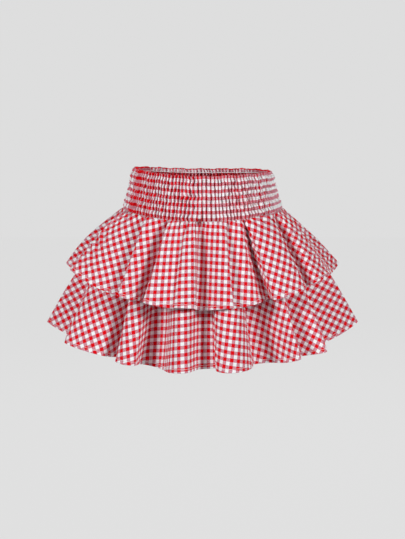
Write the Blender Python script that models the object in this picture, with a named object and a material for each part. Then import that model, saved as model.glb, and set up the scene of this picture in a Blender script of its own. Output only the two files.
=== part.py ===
"""Two-tier flounced skirt with a wide shirred waistband, held open as it is worn.

Frame: metres, +Z up, the front faces -Y, +X to the right as seen from the front.
The origin is the middle of the waist opening, half way down the waistband.
Every piece is one sheet of cloth with a real wall, cut, spread and hung from the row above it:
a shirred band in two halves, and under it two flared tiers, each in a front and a back panel.
"""
import bpy
import numpy as np

# ---- cloth -------------------------------------------------------------------------------
TIER_WALL = 0.0012        # one layer of cotton with its fold and loft
BAND_WALL = 0.0020        # shirred cotton, gathers pressed together
SEAM_GAP = 0.0003         # air left between pieces that are sewn together

# ---- waistband ---------------------------------------------------------------------------
BAND_TOP_Z = 0.0290       # top edge at centre front and centre back
BAND_RISE = 0.0041        # how much higher it stands at the sides
BAND_TILT = 0.0024        # how much more at the left side than at the right
BAND_LOW_Z = -0.0225      # lower edge at the side seams
BAND_DIP = 0.0105         # how much lower the edge hangs at centre front and centre back
BAND_TOP_HALF = (0.0990, 0.0740)      # half width, half depth of the top edge
BAND_LOW_HALF = (0.1130, 0.0860)      # half width, half depth of the lower edge
BAND_WAIST_IN = 0.0016    # how far the band draws in between its two edges

# ---- tiers -------------------------------------------------------------------------------
TIER_SPREAD = (TIER_WALL + SEAM_GAP) / 2   # each tier steps this far off the seam line
COLUMNS_PER_FOLD = 3      # columns of faces between two rows of a fold table
UPPER_RINGS = 6
LOWER_RINGS = 6
BAND_RINGS = 4
BAND_COLUMNS = 36

# Fold tables, one row per crest or hollow, left side seam to right side seam of a panel.
#   seam_deg   where the fold starts on the waist seam, degrees from centre front
#   hem_deg    where it ends on the hem
#   reach_mm   how far the hem stands from the skirt's middle there
#   fall_mm    straight distance from seam to hem; hollows curl under and fall shorter
#   belly_mm   how far the fold bows out, or in, half way down
UPPER_FOLDS = (
    # seam_deg, hem_deg, reach_mm, fall_mm, belly_mm
    (-90.0, -90.0, 197.0, 115.0, 7.0),
    (-78.0, -78.5, 170.0, 109.0, 0.0),
    (-71.5, -71.5, 198.0, 115.0, 0.0),
    (-63.0, -62.5, 182.5, 117.0, 3.0),
    (-54.0, -54.5, 165.0, 119.0, 1.0),
    (-48.5, -50.0, 145.0, 117.0, -4.0),
    (-43.5, -45.5, 167.0, 123.0, 1.0),
    (-37.0, -40.0, 150.5, 121.0, 0.0),
    (-31.0, -36.5, 126.0, 117.0, -5.0),
    (-24.5, -32.0, 153.0, 123.5, 1.0),
    (-17.5, -24.0, 142.5, 123.5, 1.0),
    (-12.0, -18.0, 134.0, 122.0, 0.0),
    (-10.0, -15.5, 140.0, 122.5, 2.0),
    (-4.0, -5.0, 137.0, 122.5, 2.0),
    (-1.0, -1.0, 110.0, 120.0, -5.0),
    (6.5, 7.5, 124.0, 122.5, 0.0),
    (15.0, 18.0, 137.0, 123.0, 1.0),
    (20.0, 24.0, 126.0, 121.5, -1.0),
    (25.5, 31.5, 133.0, 120.5, -1.0),
    (29.0, 35.5, 124.0, 117.0, -6.0),
    (32.0, 39.5, 156.5, 123.0, 1.0),
    (44.0, 49.0, 166.5, 121.0, 3.0),
    (53.0, 56.5, 172.0, 118.5, 3.0),
    (58.0, 60.5, 162.0, 115.0, -1.0),
    (62.0, 63.5, 178.0, 117.0, 2.0),
    (72.0, 71.5, 187.0, 115.0, 4.0),
    (82.0, 81.0, 186.0, 114.0, 3.0),
    (90.0, 90.0, 197.0, 115.0, 7.0),
)
LOWER_FOLDS = (
    # seam_deg, hem_deg, reach_mm, fall_mm, belly_mm
    (-90.0, -90.0, 226.0, 201.0, 7.0),
    (-81.0, -79.5, 178.0, 198.0, -5.0),
    (-75.0, -72.5, 210.5, 208.5, 0.0),
    (-66.0, -65.0, 188.5, 205.0, 1.0),
    (-58.0, -58.5, 166.0, 205.0, -2.0),
    (-52.0, -54.0, 138.0, 203.0, -10.0),
    (-47.5, -49.5, 162.0, 207.0, -7.0),
    (-42.0, -44.0, 159.0, 210.5, -6.0),
    (-38.0, -38.5, 150.0, 207.0, -7.0),
    (-34.5, -36.0, 118.0, 206.0, -11.0),
    (-30.5, -33.5, 103.0, 208.5, -13.0),
    (-26.0, -29.0, 107.0, 210.5, -11.0),
    (-18.5, -19.0, 141.0, 210.5, -5.0),
    (-12.0, -11.5, 149.0, 212.0, -5.0),
    (-7.5, -7.5, 146.0, 210.0, -6.0),
    (-4.0, -3.5, 112.0, 202.5, -10.0),
    (1.0, 1.5, 104.0, 202.5, -12.0),
    (5.0, 6.0, 110.0, 201.0, -11.0),
    (8.5, 9.5, 135.0, 207.0, -6.0),
    (12.0, 13.5, 150.0, 212.0, -6.0),
    (17.0, 18.0, 154.0, 212.0, -7.0),
    (23.0, 25.0, 147.0, 209.5, -8.0),
    (29.0, 31.0, 134.0, 205.5, -8.0),
    (34.0, 37.0, 108.0, 205.0, -13.0),
    (40.0, 45.5, 112.0, 206.0, -14.0),
    (45.0, 49.5, 142.0, 208.5, -9.0),
    (50.0, 52.5, 175.0, 209.0, -3.0),
    (55.0, 57.5, 157.0, 204.0, -7.0),
    (65.0, 66.0, 196.0, 212.5, 0.0),
    (72.0, 73.5, 170.0, 206.0, -6.0),
    (81.0, 83.0, 200.0, 202.0, -1.0),
    (90.0, 90.0, 226.0, 201.0, 7.0),
)

GINGHAM = (0.80, 0.33, 0.38, 1.0)       # red and white checks seen from far off
GINGHAM_BAND = (0.76, 0.36, 0.41, 1.0)


def seam_point(deg, out):
    """Points on the waist seam at these angles, stepped outward by a distance."""
    a = np.radians(deg)
    nx, ny = np.sin(a) / BAND_LOW_HALF[0], -np.cos(a) / BAND_LOW_HALF[1]
    n = np.hypot(nx, ny)
    x = BAND_LOW_HALF[0] * np.sin(a) + out * nx / n
    y = -BAND_LOW_HALF[1] * np.cos(a) + out * ny / n
    return x, y, seam_height(a)


def seam_height(a):
    """Height of the band's lower edge at these angles, in radians."""
    return BAND_LOW_Z - BAND_DIP * np.cos(a) ** 2


def smooth_columns(table):
    """Carry each column of a fold table smoothly through its rows."""
    rows = np.array(table)
    step = np.hypot(np.diff(np.radians(rows[:, 1]) * rows[:, 2].mean()), np.diff(rows[:, 2]))
    knots = np.concatenate([[0.0], np.cumsum(np.sqrt(step))])
    slope = np.gradient(rows, knots, axis=0) * 0.8
    out = []
    for i in range(len(rows) - 1):
        w = knots[i + 1] - knots[i]
        for s in np.arange(COLUMNS_PER_FOLD) / COLUMNS_PER_FOLD:
            h00 = 2 * s ** 3 - 3 * s ** 2 + 1
            h10 = s ** 3 - 2 * s ** 2 + s
            h01 = 3 * s ** 2 - 2 * s ** 3
            h11 = s ** 3 - s ** 2
            out.append(h00 * rows[i] + h10 * w * slope[i] + h01 * rows[i + 1] + h11 * w * slope[i + 1])
    out.append(rows[-1])
    return np.array(out)


def tier_sheet(table, rings, out):
    """Mid surface of a tier: each fold falls straight from seam to hem, bowed by its belly."""
    seam_deg, hem_deg, reach, fall, belly = smooth_columns(table).T
    sx, sy, sz = seam_point(seam_deg, out)
    sz = sz - SEAM_GAP
    a = np.radians(hem_deg)
    hx, hy = reach / 1000 * np.sin(a), -reach / 1000 * np.cos(a)
    drop = np.sqrt((fall / 1000) ** 2 - (hx - sx) ** 2 - (hy - sy) ** 2)
    t = np.linspace(0.0, 1.0, rings)[:, None]
    bow = belly / 1000 * np.sin(np.pi * t)
    x = sx + (hx - sx) * t + bow * np.sin(a)
    y = sy + (hy - sy) * t - bow * np.cos(a)
    z = sz - drop * t
    return np.stack([x, y, z], axis=-1)


def band_sheet(turn):
    """Mid surface of half of the waistband, front way round; turn is 1 for front, -1 for back."""
    deg = np.linspace(-90.0, 90.0, BAND_COLUMNS + 1)
    a = np.radians(deg)
    t = np.linspace(0.0, 1.0, BAND_RINGS + 1)[:, None]
    draw = BAND_WAIST_IN * np.sin(np.pi * t)
    rx = BAND_TOP_HALF[0] + (BAND_LOW_HALF[0] - BAND_TOP_HALF[0]) * t - draw
    ry = BAND_TOP_HALF[1] + (BAND_LOW_HALF[1] - BAND_TOP_HALF[1]) * t - draw
    top = BAND_TOP_Z + (BAND_RISE - turn * BAND_TILT * np.sin(a)) * (1 - np.abs(np.cos(a)) ** 3)
    z = top + (seam_height(a) - top) * t
    return np.stack([rx * np.sin(a), -ry * np.cos(a), z], axis=-1)


def part_ends(sheet):
    """Pull both side edges in by half a seam gap, so the two halves do not touch."""
    for end, inner in ((0, 1), (-1, -2)):
        along = sheet[:, inner] - sheet[:, end]
        along[:, 2] = 0.0
        along /= np.linalg.norm(along, axis=1)[:, None]
        sheet[:, end] += along * 0.5 * SEAM_GAP / np.abs(along[:, 1:2])
    return sheet


def thicken(sheet, wall, level_rows):
    """Outer and inner skins half a wall either side of the sheet, joined round the edge.

    The edges named in level_rows are cut level, where the piece meets its neighbour.
    """
    across = np.gradient(sheet, axis=1)
    down = np.gradient(sheet, axis=0)
    normal = np.cross(across, -down)
    normal[level_rows, :, 2] = 0.0
    normal[:, (0, -1), 1] = 0.0
    normal /= np.linalg.norm(normal, axis=2)[:, :, None]
    middle = sheet.mean(axis=(0, 1)) * np.array([0.0, 1.0, 0.0])
    if np.sum(normal * middle) < 0:
        normal = -normal
    rows, cols = sheet.shape[:2]
    outer = (sheet + normal * wall / 2).reshape(-1, 3)
    inner = (sheet - normal * wall / 2).reshape(-1, 3)
    n = rows * cols
    faces = []
    for r in range(rows - 1):
        for c in range(cols - 1):
            p, q = r * cols + c, (r + 1) * cols + c
            faces.append((p, q, q + 1, p + 1))
            faces.append((n + p, n + p + 1, n + q + 1, n + q))
    for c in range(cols - 1):
        low = (rows - 1) * cols + c
        faces.append((c, c + 1, n + c + 1, n + c))
        faces.append((low + 1, low, n + low, n + low + 1))
    for r in range(rows - 1):
        p, q = r * cols, (r + 1) * cols
        faces.append((q, p, n + p, n + q))
        p, q = p + cols - 1, q + cols - 1
        faces.append((p, q, n + q, n + p))
    return np.concatenate([outer, inner]), faces


def cloth_material(name, colour, roughness):
    mat = bpy.data.materials.new(name)
    mat.use_nodes = True
    bsdf = mat.node_tree.nodes["Principled BSDF"]
    bsdf.inputs["Base Color"].default_value = colour
    bsdf.inputs["Roughness"].default_value = roughness
    bsdf.inputs["Metallic"].default_value = 0.0
    return mat


def add_panel(name, sheet, wall, level_rows, mat, back):
    """One sheet of cloth as a closed solid. A back panel is the front one turned half round."""
    points, faces = thicken(part_ends(sheet), wall, level_rows)
    if back:
        points = points * np.array([-1.0, -1.0, 1.0])
    mesh = bpy.data.meshes.new(name)
    mesh.from_pydata(points.tolist(), [], faces)
    mesh.materials.append(mat)
    mesh.update()
    panel = bpy.data.objects.new(name, mesh)
    bpy.context.scene.collection.objects.link(panel)
    return panel


for old in list(bpy.data.objects):
    bpy.data.objects.remove(old)

gingham = cloth_material("gingham_cotton", GINGHAM, 0.85)
gingham_band = cloth_material("gingham_shirred", GINGHAM_BAND, 0.88)

for side in ("front", "back"):
    turned = side == "back"
    band = band_sheet(-1.0 if turned else 1.0)
    add_panel("waistband_" + side, band, BAND_WALL, [0, -1], gingham_band, turned)
    upper = tier_sheet(UPPER_FOLDS, UPPER_RINGS, TIER_SPREAD)
    add_panel("upper_tier_" + side, upper, TIER_WALL, [0], gingham, turned)
    lower = tier_sheet(LOWER_FOLDS, LOWER_RINGS, -TIER_SPREAD)
    add_panel("lower_tier_" + side, lower, TIER_WALL, [0], gingham, turned)
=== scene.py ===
"""Two-tier flounced gingham skirt with a shirred waistband: the fine model and its stage.

Each tier panel is cut flat as a ring sector, hung from the waist seam in listed folds, and then
settled until its threads are back near their cut lengths.
gathers worked out round it, pinched at each row of elastic. Metres, +Z up, the front faces -Y.
"""

import bpy
import numpy as np
from bpy.props import FloatProperty, FloatVectorProperty, IntProperty, PointerProperty
from mathutils import Matrix


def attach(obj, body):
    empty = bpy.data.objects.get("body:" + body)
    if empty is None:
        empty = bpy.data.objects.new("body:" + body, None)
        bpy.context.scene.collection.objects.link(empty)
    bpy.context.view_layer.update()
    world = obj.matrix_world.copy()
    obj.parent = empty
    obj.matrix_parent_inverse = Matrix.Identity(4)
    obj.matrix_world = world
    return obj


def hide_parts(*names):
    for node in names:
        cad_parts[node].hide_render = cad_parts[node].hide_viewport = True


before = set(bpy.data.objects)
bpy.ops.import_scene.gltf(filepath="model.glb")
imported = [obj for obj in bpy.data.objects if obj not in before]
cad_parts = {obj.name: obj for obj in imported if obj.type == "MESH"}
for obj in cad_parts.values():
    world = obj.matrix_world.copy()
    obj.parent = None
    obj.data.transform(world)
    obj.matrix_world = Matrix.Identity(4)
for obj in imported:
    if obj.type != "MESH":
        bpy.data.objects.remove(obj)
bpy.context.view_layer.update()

bl_info = {
    "name": "Shirred Flounce Skirt",
    "version": (1, 0, 0),
    "blender": (4, 5, 0),
    "location": "View3D > Sidebar > Skirt",
    "description": "Makes a two-tier gingham flounce skirt with a shirred waistband",
    "category": "Add Mesh",
}

# ---- the waist: the ring that everything hangs from --------------------------------------
BAND_TOP = (0.0990, 0.0740, 0.0285)     # half width, half depth, height of the top edge
BAND_RISE = (0.0041, 0.0024)            # its rise at the side seams, and how much more at left
BAND_LOW = (0.1130, 0.0860, -0.0225)    # half width, half depth, height of the lower edge at the sides
BAND_CLOTH = 0.0642                     # cut depth of the band's outside, seam to top fold
BAND_DIP = 0.0105                       # lower edge hangs this much lower front and back
BAND_DRAW = 0.0016                      # the band draws in between its edges
GATHER_CIRCLE = 0.105                   # radius of the circle an even gather is measured on
BAND_ROWS = (0.085, 0.87)               # first row of elastic and the span of all, over the height
UPPER_BOW, LOWER_BOW = (9.5, 4.5), (7.0, 7.0)   # side seams at left and at right bow out, mm
# How far the warp swings out at the left and at the right side, metre for metre of length, and how
# many times its checks are drawn together across.
UPPER_GIVE, LOWER_GIVE = ((0.36, 0.36), 1.20), ((0.36, 0.17), 1.15)
TIER_STEP = 0.00075                     # tiers step this far off the seam line
LAYER_GAP = 0.0012                      # the lower tier keeps this far inside the upper one

# ---- settling of the tiers ---------------------------------------------------------------
SPRING_SPACING = 0.0042                 # between rows of springs on the coarse grid
SPRING_COLUMNS = 181
SETTLING = ((0.05, 120), (0.03, 40))    # pull towards the hung folds and steps, coarse then fine
WEIGHT = 2e-6                           # drop in one step
LET_OUT = 0.030                         # this far below the seam its gathers are let out

# ---- threads, hems and weave -------------------------------------------------------------
YARN = 0.00042                          # spacing of the yarns
ELASTIC_RADIUS = 0.00045
ELASTIC_INSIDE = 0.0030                 # elastic lies this far inside the band's middle line
SHIRRING_RADIUS = 0.00016
HEM_STITCH_RADIUS = 0.00020
HEM_STITCH_OUT = 0.00035                # hem stitch lies this far off the middle of the cloth
HEM_TURN_RADIUS = 0.00075
TACK_RADIUS = 0.00042
TACK_PLACE = (-0.0040, -0.0895, -0.0320)    # a little left of centre, across the waist seam
CLOTH_UV = "Cloth"

# ---- small tucks under the waist seam ----------------------------------------------------
# degrees round the seam from centre front, depth_mm, length_mm.
SEAM_TUCKS = (
    (-62.0, 4.0, 12.0), (-53.0, 3.0, 8.0), (-43.3, 8.0, 26.0), (-34.0, 3.0, 8.0),
    (-25.2, 4.0, 22.0), (-15.4, 8.5, 11.0), (-10.5, 8.5, 13.0), (-4.9, 4.0, 20.0),
    (1.5, 3.0, 12.0), (8.0, 2.5, 7.0), (18.3, 7.5, 17.0), (24.0, 2.5, 7.0), (30.6, 1.5, 15.0),
    (37.0, 3.0, 8.0), (45.0, 6.0, 12.0), (56.6, 5.0, 13.0), (66.0, 3.0, 10.0),
)
TUCK_HALF_WIDTH = 1.1                   # degrees
TUCK_LAP = 0.18                         # share of its depth that a tuck's right bank laps over

# ---- stage -------------------------------------------------------------------------------
FLOOR_HEIGHT = -0.80
LAMPS = (                               # name, place, width, height, watts
    ("left", (-1.33, -1.45, 0.55), 0.45, 0.45, 24.0),
    ("right", (1.38, -1.42, 0.55), 0.45, 0.45, 23.5),
    ("back", (0.3, 2.3, 1.2), 1.2, 1.0, 44.0),
)
LAMP_AIM = (0.0, 0.0, -0.11)
EYE, EYE_AIM = (0.0, -2.0, 0.18), (0.0, 0.0, -0.112)

# ---- folds: one row per crest or hollow, left side seam to right side seam ----------------
# seam_deg where it starts, hem_deg where it ends, reach_mm of the hem from the middle,
# fall_mm straight from seam to hem, belly_mm bowed out half way down, round: 0 creased, 1 soft.
# Where one fold laps over the next, its hollow is listed past the crest that hides it.
UPPER_FOLDS = (
    (-90.0, -90.0, 197.0, 115.0, 9.5, 0.3),
    (-73.0, -80.5, 165.0, 108.0, -1.0, 0.4),
    (-70.5, -71.5, 198.0, 115.0, -1.5, 0.1),
    (-63.0, -62.5, 182.5, 117.0, 3.0, 1.0),
    (-54.0, -54.5, 165.5, 119.0, 1.0, 0.8),
    (-41.0, -45.0, 146.0, 117.0, -3.0, 0.3),
    (-43.5, -45.5, 167.0, 123.0, 1.0, 0.1),
    (-37.0, -40.5, 150.5, 121.0, 0.0, 0.7),
    (-22.0, -41.5, 121.0, 113.0, -7.0, 0.4),
    (-24.5, -32.5, 153.0, 123.5, 1.0, 0.1),
    (-17.5, -24.0, 142.5, 123.5, 1.0, 0.8),
    (-11.0, -17.5, 133.0, 122.0, 0.0, 0.4),
    (-10.8, -16.0, 140.5, 122.5, 2.0, 0.1),
    (-4.0, -3.8, 137.0, 122.5, 2.0, 0.1),
    (-2.0, -5.0, 102.0, 119.0, -7.0, 0.3),
    (2.5, 2.5, 112.5, 122.0, -3.0, 0.7),
    (6.5, 7.5, 124.0, 122.5, 0.0, 0.8),
    (11.0, 12.5, 131.0, 122.0, 1.0, 0.8),
    (15.5, 18.8, 137.0, 123.0, 1.0, 0.1),
    (17.0, 18.0, 123.0, 120.0, -2.0, 0.3),
    (21.0, 25.0, 124.5, 121.5, -2.0, 0.7),
    (26.0, 33.0, 133.5, 120.5, -1.0, 0.7),
    (33.0, 48.0, 123.0, 111.0, -8.0, 0.4),
    (30.5, 38.5, 156.5, 123.0, 1.0, 0.1),
    (44.0, 49.0, 166.5, 121.0, 3.0, 1.0),
    (55.0, 56.5, 172.0, 118.5, 3.0, 0.6),
    (66.0, 65.5, 159.0, 111.0, -3.0, 0.4),
    (64.5, 61.5, 179.0, 117.0, 2.0, 0.2),
    (74.0, 71.5, 187.0, 115.0, 4.0, 0.8),
    (82.0, 81.0, 186.0, 114.0, 3.0, 0.8),
    (90.0, 90.0, 197.0, 115.0, 9.5, 0.3),
)
LOWER_FOLDS = (
    (-90.0, -90.0, 226.0, 201.0, 7.0, 0.3),
    (-80.0, -80.0, 174.0, 197.0, -5.0, 0.4),
    (-75.0, -72.5, 210.5, 208.5, 0.0, 0.1),
    (-66.0, -65.0, 188.5, 205.0, 3.0, 0.8),
    (-58.0, -58.0, 166.0, 205.0, 0.0, 0.6),
    (-54.0, -63.5, 124.0, 203.0, -13.0, 0.4),
    (-48.0, -49.5, 162.0, 207.0, -3.0, 0.1),
    (-42.5, -44.5, 159.0, 210.5, -2.0, 0.8),
    (-38.0, -38.5, 150.0, 207.0, -4.0, 0.2),
    (-36.0, -49.0, 113.0, 206.0, -14.0, 0.3),
    (-31.0, -39.5, 101.0, 208.5, -14.0, 0.7),
    (-26.0, -30.0, 107.0, 210.5, -11.0, 0.5),
    (-18.0, -17.5, 143.0, 210.5, -4.0, 0.4),
    (-13.0, -10.5, 149.0, 212.0, -3.0, 0.6),
    (-9.0, -8.5, 147.5, 211.0, -4.0, 0.4),
    (-5.0, -4.5, 112.0, 202.5, -10.0, 0.4),
    (0.0, 0.0, 104.0, 202.5, -12.0, 0.8),
    (4.0, 6.0, 104.0, 203.5, -12.0, 0.6),
    (7.5, 10.5, 112.0, 198.0, -11.0, 0.3),
    (6.0, 7.0, 135.0, 207.0, -5.0, 0.1),
    (12.0, 13.5, 150.0, 212.0, -3.0, 0.7),
    (17.0, 18.0, 154.0, 212.0, -3.0, 0.6),
    (22.0, 24.5, 147.0, 209.5, -4.0, 0.5),
    (28.0, 31.0, 134.0, 205.5, -6.0, 0.3),
    (34.0, 44.5, 100.0, 205.5, -15.0, 0.4),
    (40.0, 54.5, 117.0, 207.0, -16.0, 0.6),
    (44.0, 51.5, 142.0, 208.5, -7.0, 0.3),
    (49.0, 51.5, 176.0, 209.0, -1.0, 0.1),
    (55.0, 61.0, 150.0, 202.0, -8.0, 0.3),
    (65.0, 66.0, 196.0, 212.5, 3.0, 0.1),
    (70.0, 78.0, 164.0, 203.0, -10.0, 0.5),
    (81.0, 84.5, 201.0, 201.5, -2.0, 0.7),
    (90.0, 90.0, 226.0, 201.0, 7.0, 0.3),
)


class SkirtSizes(bpy.types.PropertyGroup):
    """Sizes a maker would change"""
    check: FloatProperty(name="Check", description="Side of one gingham check",
                         default=0.005, unit="LENGTH")
    cloth: FloatProperty(name="Cloth", description="Thickness of one layer of cotton",
                         default=0.0005, unit="LENGTH")
    hem_fold: FloatProperty(name="Hem fold", description="Depth of the narrow turned hem",
                            default=0.0032, unit="LENGTH")
    upper_length: FloatProperty(name="Upper tier", description="Cut length of the upper tier",
                                default=0.122, unit="LENGTH")
    lower_length: FloatProperty(name="Lower tier", description="Cut length of the lower tier",
                                default=0.210, unit="LENGTH")
    upper_radius: FloatProperty(name="Upper waist radius", description="Inner radius of the upper cut",
                                default=0.185, unit="LENGTH")
    lower_radius: FloatProperty(name="Lower waist radius", description="Inner radius of the lower cut",
                                default=0.195, unit="LENGTH")
    upper_angle: FloatProperty(name="Upper sweep", description="Angle swept by one upper panel",
                               default=np.radians(137.0), subtype="ANGLE")
    lower_angle: FloatProperty(name="Lower sweep", description="Angle swept by one lower panel",
                               default=np.radians(121.0), subtype="ANGLE")
    gathers: IntProperty(name="Gathers", description="Gathers across half of the waistband",
                         default=60)
    gather_depth: FloatProperty(name="Gather depth", description="Crest to slit of the shirring",
                                default=0.0084, unit="LENGTH")
    gather_round: FloatProperty(name="Gather roundness", description="Above one, slits are narrower",
                                default=1.1)
    elastic_rows: IntProperty(name="Elastic rows", description="Rows of elastic thread",
                              default=8)


class SkirtColours(bpy.types.PropertyGroup):
    """Colours a maker would change"""
    dyed: FloatVectorProperty(name="Dyed yarn", description="Colour of the dyed yarn",
                              subtype="COLOR", default=(0.73, 0.001, 0.006))
    plain: FloatVectorProperty(name="Plain yarn", description="Colour of the undyed yarn",
                               subtype="COLOR", default=(0.90, 0.94, 0.95))
    mixed: FloatVectorProperty(name="Mixed check", description="Where dyed and plain yarns cross",
                               subtype="COLOR", default=(0.54, 0.135, 0.225))
    thread: FloatVectorProperty(name="Thread", description="Colour of the sewing thread",
                                subtype="COLOR", default=(0.60, 0.010, 0.025))
    elastic: FloatVectorProperty(name="Elastic", description="Colour of the covered elastic",
                                 subtype="COLOR", default=(0.82, 0.84, 0.84))
    backdrop: FloatVectorProperty(name="Backdrop", description="Colour of floor and backdrop",
                                  subtype="COLOR", default=(0.730, 0.730, 0.730))


# ---- curves and grids --------------------------------------------------------------------
def smooth_rows(table, per):
    """Fold rows joined, `per` steps from row to row: cubic arcs whose slope at each row is the mean
    slope there, over the square root of the distance along the hem, times how round the row is."""
    rows = np.array(table)
    step = np.hypot(np.diff(np.radians(rows[:, 1]) * rows[:, 2].mean()), np.diff(rows[:, 2]))
    knots = np.concatenate([[0.0], np.cumsum(np.sqrt(step))])
    slope = np.gradient(rows, knots, axis=0) * rows[:, 5:6]
    i = np.repeat(np.arange(len(rows) - 1), per)
    s = np.tile(np.arange(per) / per, len(rows) - 1)[:, None]
    w = (knots[i + 1] - knots[i])[:, None]
    body = (2 * s**3 - 3 * s**2 + 1) * rows[i] + (s**3 - 2 * s**2 + s) * w * slope[i]
    body += (3 * s**2 - 2 * s**3) * rows[i + 1] + (s**3 - s**2) * w * slope[i + 1]
    return np.vstack([body, rows[-1]])


def unit(v):
    """Vectors of length one."""
    return v / np.maximum(np.linalg.norm(v, axis=-1, keepdims=True), 1e-12)


def resample(grid, at, axis):
    """Grid values at fractional places `at` (0 to 1) along an axis, by Catmull-Rom arcs."""
    g = np.moveaxis(grid, axis, 0)
    n = len(g)
    f = np.clip(np.asarray(at) * (n - 1), 0, n - 1 - 1e-9)
    i = f.astype(int)
    s = (f - i).reshape((-1,) + (1,) * (g.ndim - 1))
    p0, p1 = g[np.maximum(i - 1, 0)], g[i]
    p2, p3 = g[i + 1], g[np.minimum(i + 2, n - 1)]
    out = p1 + 0.5 * s * (p2 - p0 + s * (2 * p0 - 5 * p1 + 4 * p2 - p3
                                         + s * (3 * (p1 - p2) + p3 - p0)))
    return np.moveaxis(out, 0, axis)


def ripple(x, waves, seed):
    """Slow uneven wave: a sum of sines of x in turns, each of its own height and phase."""
    rng = np.random.default_rng(seed)
    out = np.zeros_like(x)
    for turns, height in waves:
        out = out + height * np.sin(2 * np.pi * (turns * x + rng.random()))
    return out


def seam_line(deg, out):
    """Waist seam at these angles from centre front: an ellipse that dips front and back by the
    square of the cosine, stepped outward by `out`."""
    a = np.radians(deg)
    n = unit(np.stack([np.sin(a) / BAND_LOW[0], -np.cos(a) / BAND_LOW[1]], -1))
    x = BAND_LOW[0] * np.sin(a) + out * n[..., 0]
    y = -BAND_LOW[1] * np.cos(a) + out * n[..., 1]
    return np.stack([x, y, BAND_LOW[2] - BAND_DIP * np.cos(a)**2], -1)


def evened(line, width):
    """A line of points smoothed by a bell of this many points, its two ends kept in place."""
    bell = np.exp(-0.5 * (np.arange(-3 * width, 3 * width + 1) / width)**2)
    n = 3 * width
    long = np.concatenate([2 * line[:1] - line[n:0:-1], line, 2 * line[-1:] - line[-2:-n - 2:-1]])
    return np.stack([np.convolve(column, bell / bell.sum(), "valid") for column in long.T], -1)


def hung_folds(table, cols, rows, out, tuck):
    """Panel hung in its folds, (rows, cols, 3). A plain flare runs straight from the seam to an
    evened hem. Each fold's distance from that hem is added in proportion to the drop, so crests run
    straight, and hollows take a `tuck` share of it just below the seam. The belly is half a sine."""
    folds = smooth_rows(table, 24)
    for again in range(2):
        a, reach = np.radians(folds[:, 1]), folds[:, 2] / 1000
        hem = np.stack([reach * np.sin(a), -reach * np.cos(a)], -1)
        top = seam_line(folds[:, 0], out)
        drop = np.sqrt((folds[:, 3] / 1000)**2 - ((hem - top[:, :2])**2).sum(1))
        hem = np.column_stack([hem, top[:, 2] - drop])
        if not again:
            along = np.concatenate([[0], np.cumsum(np.linalg.norm(np.diff(hem, axis=0), axis=1))])
            even = np.linspace(0, along[-1], cols)
            folds = np.stack([np.interp(even, along, folds[:, k]) for k in range(6)], -1)
    flare = evened(hem, cols // 22)
    seam_deg = evened(folds[:, :1], cols // 40)[:, 0]
    top = seam_line(seam_deg, out)
    t = np.linspace(0, 1, rows)[:, None, None]
    away = np.stack([np.sin(a), -np.cos(a), 0 * a], -1)
    deep = ((hem - flare) * away).sum(-1, keepdims=True)
    hollow = np.clip(-deep / 0.008, 0, 1)
    early = (1 - hollow) * deep * away + hollow * (hem - flare)
    early = tuck * (1 - t) * (1 - np.exp(-t / 0.07)) * early
    return top + (hem - top) * t + early + away * folds[:, 4:5] / 1000 * np.sin(np.pi * t)


def turned_hem(grid, flat, fold, radius):
    """Panel with its narrow hem: the last row is carried round a half circle of this radius to
    the inside and back up by `fold`. Also gives the line of the hem stitch on the outside."""
    normal = surface_normals(grid)[-1]
    down = unit(grid[-1] - grid[-3])
    middle = grid[-1] - radius * normal
    turn = np.radians([45.0, 90.0, 135.0, 180.0])[:, None, None]
    bend = middle + radius * (np.cos(turn) * normal + np.sin(turn) * down)
    back = np.array([0.5, 1.0]) * fold
    up = grid[-1] - (2 * radius - 0.0001) * normal - back[:, None, None] * down
    reach = np.concatenate([radius * turn[:, 0, 0], np.pi * radius + back])
    cut = flat[-1] + reach[:, None, None] * unit(flat[-1] - flat[-2])
    k = max(2, round(fold / np.linalg.norm(flat[-1, 0] - flat[-2, 0])))
    return np.concatenate([grid, bend, up]), np.concatenate([flat, cut]), grid[-1 - k]


def ring_sector(radius, length, angle, rows, cols):
    """Flat cut of a flared panel, (rows, cols, 2): radius and angle in even steps."""
    phi = np.linspace(-angle / 2, angle / 2, cols)[None, :]
    r = radius + length * np.linspace(0, 1, rows)[:, None]
    return np.stack([r * np.sin(phi), r * np.cos(phi)], -1)


def swung_grain(flat, radius, length, angle, swing, drawn):
    """UV of a hung panel. With p the angle of a point from centre front and q = tanh(4 p / angle),
    u = drawn * x - swing * q * (y - (radius + length / 2) cos p) and v = y: hung on the bias, the
    cloth gives, so its warp swings out towards the fall of the folds, more at the sides."""
    p = np.arctan2(flat[..., 0], flat[..., 1])
    q = np.tanh(4 * p / angle)
    give = np.where(q < 0, swing[0], swing[1]) * q
    middle = (radius + 0.5 * length) * np.cos(p)
    return np.stack([drawn * flat[..., 0] - give * (flat[..., 1] - middle), flat[..., 1]], -1)


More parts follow.
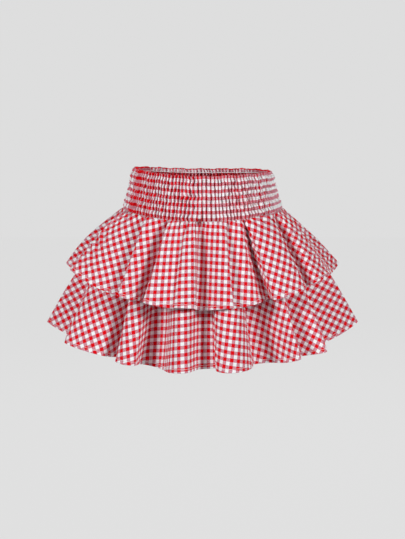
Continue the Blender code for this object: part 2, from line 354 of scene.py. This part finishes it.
# ---- settling ----------------------------------------------------------------------------
def spring_sets(flat, gather):
    """Springs of the cut cloth in sets that share no point: along both threads, both diagonals,
    and across two threads against sharp bends. Each set is (start, end, length, stiffness, kind).
    `gather` shortens each row where the seam draws it up."""
    rows, cols = flat.shape[:2]
    wide = np.linalg.norm(flat[:, 1:] - flat[:, :-1], axis=2).mean(1) * gather
    deep = np.linalg.norm(flat[1:, 0] - flat[:-1, 0], axis=1).mean()
    index = np.arange(rows * cols).reshape(rows, cols)
    sets = []
    for dr, dc, grip, kind in ((0, 1, 1.0, 0), (1, 0, 1.0, 0), (1, 1, 0.35, 0), (1, -1, 0.35, 0),
                               (0, 2, 0.03, 1), (2, 0, 0.15, 1)):
        step = max(dr, abs(dc))
        a = index[:rows - dr, max(0, -dc):cols - max(0, dc)]
        b = index[dr:, max(0, dc):cols - max(0, -dc)]
        r, c = np.indices(a.shape)
        length = np.hypot(dr * deep, dc * 0.5 * (wide[r] + wide[r + dr]))
        place = r if dr and not dc else c
        lane = (place // step) % 2 * 2 + place % step * 4
        lane = lane + (r % 2 if dr and dc else 0)
        for k in np.unique(lane):
            chosen = lane == k
            sets.append((a[chosen], b[chosen], length[chosen][:, None], grip, kind))
    return sets


def room_cells(x):
    """Where points lie in cells of one degree round, from 5 degrees behind the left side seam, and
    three millimetres down, from 10 mm below the middle of the waist opening."""
    return np.degrees(np.arctan2(x[:, 0], -x[:, 1])) + 95, (-0.010 - x[:, 2]) / 0.003


def room_under(cover, gap):
    """How far out a layer beneath may reach: the cover's least distance from the middle in each
    cell and the cells beside it, less the gap."""
    p = cover.reshape(-1, 3)
    turn, down = room_cells(p)
    turn = np.clip(np.round(turn).astype(int), 0, 190)
    down = np.clip(np.round(down).astype(int), 0, 60)
    least = np.full((193, 63), 9.0)
    np.minimum.at(least, (turn + 1, down + 1), np.hypot(p[:, 0], p[:, 1]))
    near = [np.roll(least, (i, j), (0, 1)) for i in (-1, 0, 1) for j in (-1, 0, 1)]
    return np.min(near, axis=0)[1:-1, 1:-1] - gap


def keep_under(x, room):
    """Points beyond the room they have are drawn straight in towards the middle."""
    turn, down = room_cells(x)
    turn, down = np.clip(turn, 0, 189.99), np.clip(down, 0, 59.99)
    i, j = turn.astype(int), down.astype(int)
    s, t = turn - i, down - j
    most = (room[i, j] * (1 - s) * (1 - t) + room[i + 1, j] * s * (1 - t)
            + room[i, j + 1] * (1 - s) * t + room[i + 1, j + 1] * s * t)
    x[:, :2] *= np.minimum(1.0, most / np.hypot(x[:, 0], x[:, 1]))[:, None]


def settle(start, sets, pull, pinned, steps, weight, room):
    """Cloth relaxed to its cut lengths: each step carries the last motion on, drops by `weight`,
    eases towards the hung folds by `pull`, shares each spring's error between its ends and stays
    under the layer above. Pinned points stay. Bending springs only push, so folds stay soft."""
    x = start.reshape(-1, 3).copy()
    aim = start.reshape(-1, 3)
    held = pinned.reshape(-1)
    moved = np.zeros_like(x)
    for _ in range(steps):
        before = x.copy()
        x += 0.9 * moved
        x[:, 2] -= weight
        x += (aim - x) * pull
        for i, j, length, grip, kind in sets:
            d = x[j] - x[i]
            n = np.sqrt((d * d).sum(1, keepdims=True)) + 1e-12
            error = (n - length) / n
            error = np.minimum(error, 0.0) if kind else error
            d *= 0.5 * grip * error
            x[i] += d
            x[j] -= d
        if room is not None:
            keep_under(x, room)
        x[held] = aim[held]
        moved = x - before
    return x.reshape(start.shape)


def seam_tucks(grid):
    """Small gathers just below the seam: a fine ripple and the narrow tucks of the table. A tuck is
    a sharp groove whose right bank laps a little over it. The cloth puffs out under the seam, and
    all of it dies away downward."""
    deg = np.degrees(np.arctan2(grid[0, :, 0] / BAND_LOW[0], -grid[0, :, 1] / BAND_LOW[1]))
    drop = np.linalg.norm(grid - grid[:1], axis=2, keepdims=True) * 1000
    fine = ripple(deg / 180, ((23, 0.30), (37, 0.25), (51, 0.2)), 21)[None, :, None]
    away = fine * np.exp(-drop / 10) + 0.9 * (1 - np.exp(-drop / 2)) * np.exp(-(drop / 14)**2)
    over = 0 * drop
    starts = 0.12 + 0.88 * (1 - np.exp(-drop / 3))
    for place, depth, length in SEAM_TUCKS:
        bank = deg[None, :, None] - place
        dies = starts * np.exp(-(drop / length)**2)
        away = away - depth * dies * np.clip(1 - np.abs(bank) / TUCK_HALF_WIDTH, 0, 1)
        over = over - TUCK_LAP * depth * dies * np.exp(-((bank - 1.3) / 0.8)**2)
    normal = surface_normals(grid)
    right = unit(np.gradient(grid, axis=1))
    return grid + (normal * away + right * over) / 1000


def tier_panel(table, radius, length, angle, out, tuck, cover=None):
    """One settled panel and its cut: hung on a coarse grid of springs, settled, then settled again
    on one twice as fine. It stays under its cover. A panel with no cover gets the seam's tucks."""
    room = None if cover is None else room_under(cover, LAYER_GAP)
    drawn = np.linalg.norm(np.diff(seam_line(np.linspace(-90, 90, 91), out), axis=0), axis=1).sum()
    rows, cols = int(length / SPRING_SPACING) + 2, SPRING_COLUMNS
    start = hung_folds(table, cols, rows, out, tuck)
    for level, (pull, steps) in enumerate(SETTLING):
        if level:
            rows, cols = 2 * rows - 1, 2 * cols - 1
            start = resample(resample(start, np.linspace(0, 1, rows), 0), np.linspace(0, 1, cols), 1)
        flat = ring_sector(radius, length, angle, rows, cols)
        pinned = np.zeros((rows, cols), bool)
        pinned[0], pinned[:, 0], pinned[:, -1] = True, True, True
        let_out = np.clip(np.linspace(0, length / LET_OUT, rows), 0, 1)
        gather = 1.0 - (1.0 - drawn / (radius * angle)) * (1.0 - let_out)**2
        sets = spring_sets(flat, gather)
        start = settle(start, sets, pull, pinned, steps, WEIGHT, room)
    return (seam_tucks(start) if cover is None else start), flat


# ---- meshes ------------------------------------------------------------------------------
def grid_faces(rows, cols, closed=False):
    """Quads of a grid, wound so that rows run down and columns run to the right seen from out."""
    r, c = np.meshgrid(np.arange(rows - 1), np.arange(cols if closed else cols - 1), indexing="ij")
    right = (c + 1) % cols
    quads = np.stack([r * cols + c, (r + 1) * cols + c, (r + 1) * cols + right, r * cols + right], -1)
    return quads.reshape(-1, 4)


def new_mesh(name, points, quads, extra=()):
    """Mesh object from arrays: points, quads and any end caps."""
    mesh = bpy.data.meshes.new(name)
    mesh.from_pydata(points.reshape(-1, 3).tolist(), [], quads.tolist() + [list(f) for f in extra])
    mesh.polygons.foreach_set("use_smooth", np.ones(len(mesh.polygons), bool))
    mesh.update()
    piece = bpy.data.objects.new(name, mesh)
    bpy.context.scene.collection.objects.link(piece)
    return piece


def lay_uv(piece, uv):
    """One UV per point, in metres on the flat cloth."""
    mesh = piece.data
    layer = mesh.uv_layers.new(name=CLOTH_UV)
    corner = np.empty(len(mesh.loops), np.int32)
    mesh.loops.foreach_get("vertex_index", corner)
    layer.data.foreach_set("uv", uv.reshape(-1, 2)[corner].astype(np.float32).ravel())


def add_wall(piece, wall):
    """Cloth thickness, grown evenly both ways."""
    solid = piece.modifiers.new("Wall", "SOLIDIFY")
    solid.thickness = wall
    solid.offset = 0.0
    solid.use_rim = True


def strands(name, paths, normals, radius, sides=6):
    """Round threads carried along many paths (n, k, 3): a ring of `sides` points round each path
    point, spanned by the surface normal and its cross product with the direction of travel."""
    along = unit(np.gradient(paths, axis=1))
    across = unit(np.cross(along, normals))
    up = np.cross(across, along)
    turn = 2 * np.pi * np.arange(sides) / sides
    ring = np.cos(turn)[:, None] * across[:, :, None] + np.sin(turn)[:, None] * up[:, :, None]
    points = paths[:, :, None] + radius * ring
    n, k = paths.shape[:2]
    tube = grid_faces(k, sides, closed=True)[:, ::-1]
    base = np.arange(n)[:, None, None] * (k * sides)
    quads = (base + tube[None]).reshape(-1, 4)
    first = base[:, 0] + np.arange(sides)[::-1]
    last = base[:, 0] + (k - 1) * sides + np.arange(sides)
    return new_mesh(name, points, quads, first.tolist() + last.tolist())


def surface_normals(grid):
    """Outward normals of a grid whose rows run down and columns run to the right."""
    return unit(np.cross(np.gradient(grid, axis=0), np.gradient(grid, axis=1)))


# ---- finishes ----------------------------------------------------------------------------
class Nodes:
    """Short way to wire a material."""

    def __init__(self, name):
        self.mat = bpy.data.materials.new(name)
        self.mat.use_nodes = True
        self.tree = self.mat.node_tree
        self.shader = self.tree.nodes["Principled BSDF"]

    def add(self, kind, *inputs, **settings):
        node = self.tree.nodes.new(kind)
        for key, value in settings.items():
            setattr(node, key, value)
        for i, value in enumerate(inputs):
            if value is None:
                continue
            if isinstance(value, bpy.types.NodeSocket):
                self.tree.links.new(value, node.inputs[i])
            else:
                node.inputs[i].default_value = value
        return node.outputs[0]

    def math(self, operation, *inputs):
        return self.add("ShaderNodeMath", *inputs, operation=operation)

    def link(self, output, name):
        self.tree.links.new(output, self.shader.inputs[name])


def gingham_finish(name, check, colours, warp_shift, weft_shift):
    """The shifts slide the warp and weft stripes along the cloth."""
    n = Nodes(name)
    uv = n.add("ShaderNodeUVMap", uv_map=CLOTH_UV)
    xyz = n.tree.nodes.new("ShaderNodeSeparateXYZ")
    n.tree.links.new(uv, xyz.inputs[0])

    def stripe(coordinate, shift):
        moved = n.math("ADD", coordinate, shift)
        turn = n.math("PINGPONG", moved, check)
        share = n.math("DIVIDE", turn, check)
        return n.add("ShaderNodeMapRange", share, 0.46, 0.54, 0.0, 1.0,
                     interpolation_type="SMOOTHSTEP")

    def thread(coordinate):
        count = n.math("DIVIDE", coordinate, YARN)
        return count, n.math("SINE", n.math("MULTIPLY", n.math("FRACT", count), np.pi))

    warp, weft = stripe(xyz.outputs[0], warp_shift), stripe(xyz.outputs[1], weft_shift)
    count_x, round_x = thread(xyz.outputs[0])
    count_y, round_y = thread(xyz.outputs[1])
    cell = n.math("ADD", n.math("FLOOR", count_x), n.math("FLOOR", count_y))
    over = n.math("PINGPONG", cell, 1.0)
    toned = n.math("ADD", n.math("MULTIPLY", warp, n.math("SUBTRACT", 1.0, over)),
                   n.math("MULTIPLY", weft, over))
    even = n.math("MULTIPLY", n.math("ADD", warp, weft), 0.5)
    share = n.math("ADD", n.math("MULTIPLY", toned, 0.4), n.math("MULTIPLY", even, 0.6))
    colour = n.tree.nodes.new("ShaderNodeValToRGB")
    n.tree.links.new(share, colour.inputs[0])
    ramp = colour.color_ramp.elements
    ramp.new(0.5)
    for stop, tone in zip(ramp, (colours.dyed, colours.mixed, colours.plain)):
        stop.color = (*tone, 1.0)
    slub = n.add("ShaderNodeTexNoise", uv, None, 900.0, 2.0)
    fade = n.add("ShaderNodeMapRange", slub, 0.3, 0.7, 0.94, 1.04)
    aged = n.tree.nodes.new("ShaderNodeHueSaturation")
    n.tree.links.new(colour.outputs[0], aged.inputs["Color"])
    n.tree.links.new(fade, aged.inputs["Value"])
    n.link(aged.outputs[0], "Base Color")
    height = n.math("ADD", n.math("MULTIPLY", round_x, n.math("SUBTRACT", 1.0, over)),
                    n.math("MULTIPLY", round_y, over))
    bump = n.tree.nodes.new("ShaderNodeBump")
    bump.inputs["Strength"].default_value = 0.35
    bump.inputs["Distance"].default_value = 0.0001
    n.tree.links.new(height, bump.inputs["Height"])
    n.link(bump.outputs[0], "Normal")
    n.shader.inputs["Roughness"].default_value = 0.85
    n.shader.inputs["Specular IOR Level"].default_value = 0.07
    n.shader.inputs["Sheen Weight"].default_value = 0.04
    n.shader.inputs["Sheen Roughness"].default_value = 0.5
    return n.mat


def thread_finish(name, colour):
    """Spun thread: fine uneven light and dark along the strand, about 0.6 mm apart."""
    n = Nodes(name)
    where = n.tree.nodes.new("ShaderNodeTexCoord").outputs["Object"]
    wave = n.add("ShaderNodeTexNoise", where, None, 1.0 / 0.0006, 2.0)
    fade = n.add("ShaderNodeMapRange", wave, 0.3, 0.7, 0.8, 1.1)
    tone = n.tree.nodes.new("ShaderNodeHueSaturation")
    tone.inputs["Color"].default_value = (*colour, 1.0)
    n.tree.links.new(fade, tone.inputs["Value"])
    n.link(tone.outputs[0], "Base Color")
    n.shader.inputs["Roughness"].default_value = 0.6
    n.shader.inputs["Sheen Weight"].default_value = 0.1
    return n.mat


# ---- the waistband -----------------------------------------------------------------------
def gather_places(count, seed):
    """Grid columns of the shirring, ten to a gather and close together in its slit: how many
    gathers lie left of each (its turns), and its place round the half band, 0 to 1. Gathers
    differ in width by slow waves and a little from one to the next."""
    steps = np.array([0.0, 0.03, 0.085, 0.18, 0.33, 0.5, 0.67, 0.82, 0.915, 0.97])
    turns = np.append((np.arange(count)[:, None] + steps).ravel(), count)
    rng = np.random.default_rng(seed)
    k = np.arange(count)
    width = 1.0 + ripple(k / count, ((3, 0.06), (7, 0.06), (13, 0.06)), seed)
    width = width + 0.09 * rng.standard_normal(count)
    edges = np.append(0.0, np.cumsum(width))
    return turns, np.interp(turns, np.arange(count + 1), edges / edges[-1])


def wandering(turns, t, low, high, seed):
    """A value for every slit and every height: random heights at eleven levels, between `low` and
    `high`, joined smoothly down each slit."""
    rng = np.random.default_rng(seed)
    knots = rng.uniform(low, high, (11, int(turns.max()) + 2))
    down = resample(knots, np.clip(t, 0, 1).ravel(), 0)
    return down[:, np.round(turns).astype(int)]


def band_grid(sizes, seed, turn):
    """Half of the waistband, front, its flat cloth, the rows where elastic runs, and the way out.
    The ring is an ellipse that widens from top to lower edge and draws in between. Each gather is
    a round ridge between two narrow slits: a slit is as deep as (1 - |sin pi turns|) to a power.
    Rows of elastic pinch it. The top edge is folded over and runs down inside. The back (`turn`
    is -1) is built as a front and turned half round after, so its higher side is swapped."""
    turns, u = gather_places(sizes.gathers, seed)
    first_row, row_span = BAND_ROWS
    # rows of the cloth by share of the band's height: up the header inside, over the top fold and
    # down the outside; then how far in each row lies, and where it is on the flat cloth
    inner = np.array([0.125, 0.09, 0.055, 0.03, 0.012, 0.002])
    outer = np.concatenate([[0.002, 0.010], np.linspace(0.022, 1.0, 59)])
    t = np.concatenate([inner, [-0.006], outer])[:, None]
    inset = np.concatenate([[1.5, 1.5, 1.5, 1.45, 1.3, 1.05, 0.6, 0.2, 0.05], np.zeros(59)])
    inset = inset[:, None] / 1000
    down = np.concatenate([-inner, [0.0], outer])[:, None] * BAND_CLOTH
    # the smooth ring, with slits that lean a little on their way down
    lean = ripple(t[:, 0], ((1.3, 0.16), (3.1, 0.12), (5.3, 0.08)), seed + 2)[:, None]
    lean = lean * ripple(u, ((2, 0.5), (5, 0.5), (9, 0.4)), seed + 3) * np.sin(np.pi * u)**0.5
    a = np.radians(-90 + 180 * (u + lean / sizes.gathers))
    draw = BAND_DRAW * np.sin(np.pi * t)
    rx = BAND_TOP[0] + (BAND_LOW[0] - BAND_TOP[0]) * t - draw
    ry = BAND_TOP[1] + (BAND_LOW[1] - BAND_TOP[1]) * t - draw
    low = BAND_LOW[2] - BAND_DIP * np.cos(a)**2
    rise = (BAND_RISE[0] - turn * BAND_RISE[1] * np.sin(a)) * (1 - np.abs(np.cos(a))**3)
    top = BAND_TOP[2] + rise + 0.0005 * np.sin(19 * a + 1.0) + 0.0003 * np.sin(47 * a)
    base = np.stack([rx * np.sin(a), -ry * np.cos(a), top + (low - top) * t], -1)
    away = unit(np.stack([np.sin(a) / rx, -np.cos(a) / ry, 0 * rx * a], -1))
    # gathers, puffed out between the rows of elastic
    place = np.clip((t - first_row) / row_span, 0, 1) * (sizes.elastic_rows - 1)
    puff = np.abs(np.sin(np.pi * place))**0.6 * ((t > first_row) & (t < 0.955))
    slit = (1.0 - np.abs(np.sin(np.pi * turns)))**sizes.gather_round
    slit = slit * wandering(turns, t, 0.30, 1.20, seed + 4)
    crest = 0.30 * np.abs(np.sin(np.pi * turns)) * wandering(turns + 0.5, t, -1.0, 1.0, seed + 5)
    edge = np.sin(np.pi * np.clip(u, 0.002, 0.998))**0.2
    depth = sizes.gather_depth * edge * (0.66 + 0.34 * puff)
    stand = depth * (0.45 - slit + crest) + 0.0011 * (puff - 0.6) - inset
    grid = base + away * stand[..., None]
    # cloth taken up along an even gather, and threads that stray from their place in it
    dip = (1.0 - np.abs(np.sin(np.pi * turns)))**sizes.gather_round
    plain = np.stack([turns * np.pi * GATHER_CIRCLE / sizes.gathers, sizes.gather_depth * dip], -1)
    along = np.append(0.0, np.cumsum(np.linalg.norm(np.diff(plain, axis=0), axis=1)))
    along = along * sizes.gathers / along[-1]
    jog = np.random.default_rng(seed + 7).normal(0.0, 0.06, sizes.gathers + 1)
    drift = 0.25 * np.sin(np.pi * np.clip(u, 0, 1))**1.5 - 0.16 * u**3
    drift = drift + np.interp(turns, np.arange(len(jog)), jog)
    drift = drift + ripple(u, ((1.3, 0.08), (4.1, 0.08)), seed + 6)
    cloth = (0.75 * turns + 0.25 * along + drift + 0.2 * lean) * 2 * sizes.check
    pinches = np.arange(sizes.elastic_rows) / (sizes.elastic_rows - 1) * row_span + first_row
    rows = np.round(np.interp(pinches, outer, np.arange(len(outer)))).astype(int) + len(inner) + 1
    return grid, np.stack([cloth, down + 0 * cloth], -1), rows, away


def finish_piece(piece, node):
    """Common end of every piece: it rides with the body and may stand for a solid."""
    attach(piece, "root")
    if node:
        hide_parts(node)


class SKIRT_OT_waistband(bpy.types.Operator):
    """Shirred waistband in two halves, its elastic inside and its stitches outside"""
    bl_idname = "skirt.waistband"
    bl_label = "Waistband"

    def execute(self, context):
        s, c = context.scene.skirt_sizes, context.scene.skirt_colours
        mat = gingham_finish("gingham_shirred", s.check, c, warp_shift=0.0, weft_shift=0.0088)
        elastic, sewing = thread_finish("elastic", c.elastic), thread_finish("sewing_thread", c.thread)
        for side, turn, seed in (("front", 1.0, 5), ("back", -1.0, 11)):
            grid, uv, pinched, away = band_grid(s, seed, turn)
            about = np.array([turn, turn, 1.0])
            grid, away = grid * about, away * about
            piece = new_mesh("band_" + side, grid, grid_faces(*grid.shape[:2]))
            lay_uv(piece, uv)
            add_wall(piece, s.cloth)
            piece.data.materials.append(mat)
            finish_piece(piece, "waistband_" + side)

            even = np.linspace(0, 1, 121)
            middle = np.stack([evened(row, 6) for row in resample(grid, even, 1)[pinched]])
            out = resample(away, even, 1)[pinched]
            cord = strands("elastic_" + side, middle - unit(out) * ELASTIC_INSIDE, out, ELASTIC_RADIUS)
            cord.data.materials.append(elastic)
            finish_piece(cord, None)

            normals = surface_normals(grid)[pinched][:, ::2]
            line = grid[pinched][:, ::2] + normals * (0.5 * s.cloth + 0.5 * SHIRRING_RADIUS)
            stitches = strands("shirring_" + side, line, normals, SHIRRING_RADIUS, 4)
            stitches.data.materials.append(sewing)
            finish_piece(stitches, None)

        return {"FINISHED"}


class SKIRT_OT_tiers(bpy.types.Operator):
    """Upper and lower flounce, a front and a back panel each"""
    bl_idname = "skirt.tiers"
    bl_label = "Tiers"

    def execute(self, context):
        s, c = context.scene.skirt_sizes, context.scene.skirt_colours
        mat = gingham_finish("gingham_cotton", s.check, c, warp_shift=0.0025, weft_shift=0.0)
        tiers = (
            ("upper", UPPER_FOLDS, UPPER_BOW, s.upper_radius, s.upper_length, s.upper_angle,
             TIER_STEP, 0.70, UPPER_GIVE),
            ("lower", LOWER_FOLDS, LOWER_BOW, s.lower_radius, s.lower_length, s.lower_angle,
             -TIER_STEP, 0.30, LOWER_GIVE),
        )
        hem_thread = thread_finish("hem_thread", c.plain)
        for side, turn in (("front", 1.0), ("back", -1.0)):
            cover = None
            for name, table, bow, radius, length, angle, out, tuck, give in tiers:
                rows = np.array(table)
                rows[[0, -1], 4] = bow if turn > 0 else bow[::-1]
                cover, flat = tier_panel(rows, radius, length, angle, out, tuck, cover)
                grid = cover * np.array([turn, turn, 1.0])
                grid, flat, edge = turned_hem(grid, flat, s.hem_fold, HEM_TURN_RADIUS)
                piece = new_mesh(name + "_" + side, grid, grid_faces(*grid.shape[:2]))
                lay_uv(piece, swung_grain(flat, radius, length, angle, *give))
                add_wall(piece, s.cloth)
                piece.data.materials.append(mat)
                finish_piece(piece, name + "_tier_" + side)

                normal = surface_normals(np.stack([grid[-9], edge, grid[-6]]))[1]
                stitch = strands(name + "_hem_" + side, (edge + normal * HEM_STITCH_OUT)[None],
                                 normal[None], HEM_STITCH_RADIUS, 4)
                stitch.data.materials.append(hem_thread)
                finish_piece(stitch, None)

        return {"FINISHED"}


class SKIRT_OT_bar_tack(bpy.types.Operator):
    """Bar tack at centre front: upright stitches laid side by side, with two cut ends"""
    bl_idname = "skirt.bar_tack"
    bl_label = "Bar tack"

    def execute(self, context):
        c = context.scene.skirt_colours
        rng = np.random.default_rng(4)
        across, out, up = TACK_PLACE
        place = (across + np.linspace(-0.0021, 0.0021, 8))[:, None]
        t = np.linspace(0, 1, 15)[None, :]
        high = 0.0030 + 0.0004 * rng.standard_normal((8, 1))
        x = place + 0.0003 * np.sin(3 * t + place * 4000)
        y = out - 0.0013 * np.sin(np.pi * t)**0.5 + 0 * x
        z = up + high * (1 - 2 * t)
        bars = np.stack([x, y, z], -1)
        side = np.array([[-1.0], [1.0]])
        x = across + side * (0.0005 + 0.0014 * t)
        y = out - 0.0010 - 0.0008 * np.sin(np.pi * t) + 0 * x
        z = up - 0.0025 - 0.0038 * t + 0 * x
        ends = np.stack([x, y, z], -1)
        paths = np.concatenate([bars, ends])
        tack = strands("bar_tack", paths, np.array([0.0, -1.0, 0.0]), TACK_RADIUS)
        tack.data.materials.append(thread_finish("tack_thread", np.array(c.thread) * 0.35))
        finish_piece(tack, None)
        return {"FINISHED"}


def paper_finish(paper):
    """Matt floor paper. What the camera sees of it glows nearly evenly, so that it meets the
    backdrop without a line, and a little of its own shading is left to hold the shadow."""
    n = Nodes("floor_paper")
    n.shader.inputs["Base Color"].default_value = paper
    n.shader.inputs["Roughness"].default_value = 0.95
    rays = n.tree.nodes.new("ShaderNodeLightPath")
    seen = n.math("MAXIMUM", n.math("MAXIMUM", rays.outputs["Is Camera Ray"],
                                    rays.outputs["Is Glossy Ray"]),
                  rays.outputs["Is Transmission Ray"])
    both = n.tree.nodes.new("ShaderNodeMixShader")
    n.tree.links.new(n.math("MULTIPLY", seen, 0.95), both.inputs[0])
    n.tree.links.new(n.shader.outputs[0], both.inputs[1])
    n.tree.links.new(n.add("ShaderNodeEmission", paper, 1.035), both.inputs[2])
    n.tree.links.new(both.outputs[0], n.tree.nodes["Material Output"].inputs["Surface"])
    return n.mat


def studio_world(paper):
    """Faint even light from all round; the camera sees backdrop paper instead."""
    world = bpy.data.worlds.new("studio")
    world.use_nodes = True
    tree = world.node_tree
    tree.nodes.clear()
    out = tree.nodes.new("ShaderNodeOutputWorld")
    light = tree.nodes.new("ShaderNodeBackground")
    light.inputs["Color"].default_value = (1.0, 1.0, 1.0, 1.0)
    light.inputs["Strength"].default_value = 0.06
    backdrop = tree.nodes.new("ShaderNodeBackground")
    backdrop.inputs["Color"].default_value = paper
    rays = tree.nodes.new("ShaderNodeLightPath")
    most = tree.nodes.new("ShaderNodeMath")
    most.operation = "MAXIMUM"
    tree.links.new(rays.outputs["Is Camera Ray"], most.inputs[0])
    tree.links.new(rays.outputs["Is Glossy Ray"], most.inputs[1])
    mix = tree.nodes.new("ShaderNodeMixShader")
    tree.links.new(most.outputs[0], mix.inputs[0])
    tree.links.new(light.outputs[0], mix.inputs[1])
    tree.links.new(backdrop.outputs[0], mix.inputs[2])
    tree.links.new(mix.outputs[0], out.inputs["Surface"])
    return world


class SKIRT_OT_stage(bpy.types.Operator):
    """Pale floor, soft lamps and the camera"""
    bl_idname = "skirt.stage"
    bl_label = "Stage"

    def execute(self, context):
        paper = (*context.scene.skirt_colours.backdrop, 1.0)
        ends = np.array([-6.0, 6.0])
        x, y = np.meshgrid(ends, ends)
        floor = new_mesh("floor", np.stack([x, y, 0 * x + FLOOR_HEIGHT], -1)[::-1], grid_faces(2, 2))
        floor.data.materials.append(paper_finish(paper))
        context.scene.world = studio_world(paper)

        for name, place, wide, high, power in LAMPS:
            lamp = bpy.data.lights.new(name, "AREA")
            lamp.shape = "RECTANGLE"
            lamp.size, lamp.size_y = wide, high
            lamp.energy = power
            look_at(bpy.data.objects.new(name, lamp), place, LAMP_AIM)

        camera = bpy.data.cameras.new("camera")
        camera.lens = 93.1
        camera.sensor_width = 36.0
        camera.clip_end = 50.0
        eye = bpy.data.objects.new("camera", camera)
        look_at(eye, EYE, EYE_AIM)
        context.scene.camera = eye
        context.scene.view_settings.view_transform = "Standard"
        return {"FINISHED"}


def look_at(thing, place, aim):
    """Put a lamp or camera in the scene at a place, its -Z towards the aim and its Y up."""
    bpy.context.scene.collection.objects.link(thing)
    back = unit(np.array(place) - np.array(aim))
    right = unit(np.cross([0.0, 0.0, 1.0], back))
    turn = np.eye(4)
    turn[:3, 0], turn[:3, 1], turn[:3, 2], turn[:3, 3] = right, np.cross(back, right), back, place
    thing.matrix_world = Matrix(turn.tolist())


class SKIRT_PT_panel(bpy.types.Panel):
    """Lists the pieces of the skirt"""
    bl_label = "Flounce Skirt"
    bl_idname = "SKIRT_PT_panel"
    bl_space_type = "VIEW_3D"
    bl_region_type = "UI"
    bl_category = "Skirt"

    def draw(self, context):
        for maker in OPERATORS:
            self.layout.operator(maker.bl_idname)


OPERATORS = (SKIRT_OT_waistband, SKIRT_OT_tiers, SKIRT_OT_bar_tack, SKIRT_OT_stage)
CLASSES = (SkirtSizes, SkirtColours, *OPERATORS, SKIRT_PT_panel)


def register():
    for cls in CLASSES:
        bpy.utils.register_class(cls)
    bpy.types.Scene.skirt_sizes = PointerProperty(type=SkirtSizes)
    bpy.types.Scene.skirt_colours = PointerProperty(type=SkirtColours)


def unregister():
    del bpy.types.Scene.skirt_colours
    del bpy.types.Scene.skirt_sizes
    for cls in reversed(CLASSES):
        bpy.utils.unregister_class(cls)


def main():
    register()
    for maker in OPERATORS:
        group, name = maker.bl_idname.split(".")
        getattr(getattr(bpy.ops, group), name)()


if __name__ == "__main__":
    main()
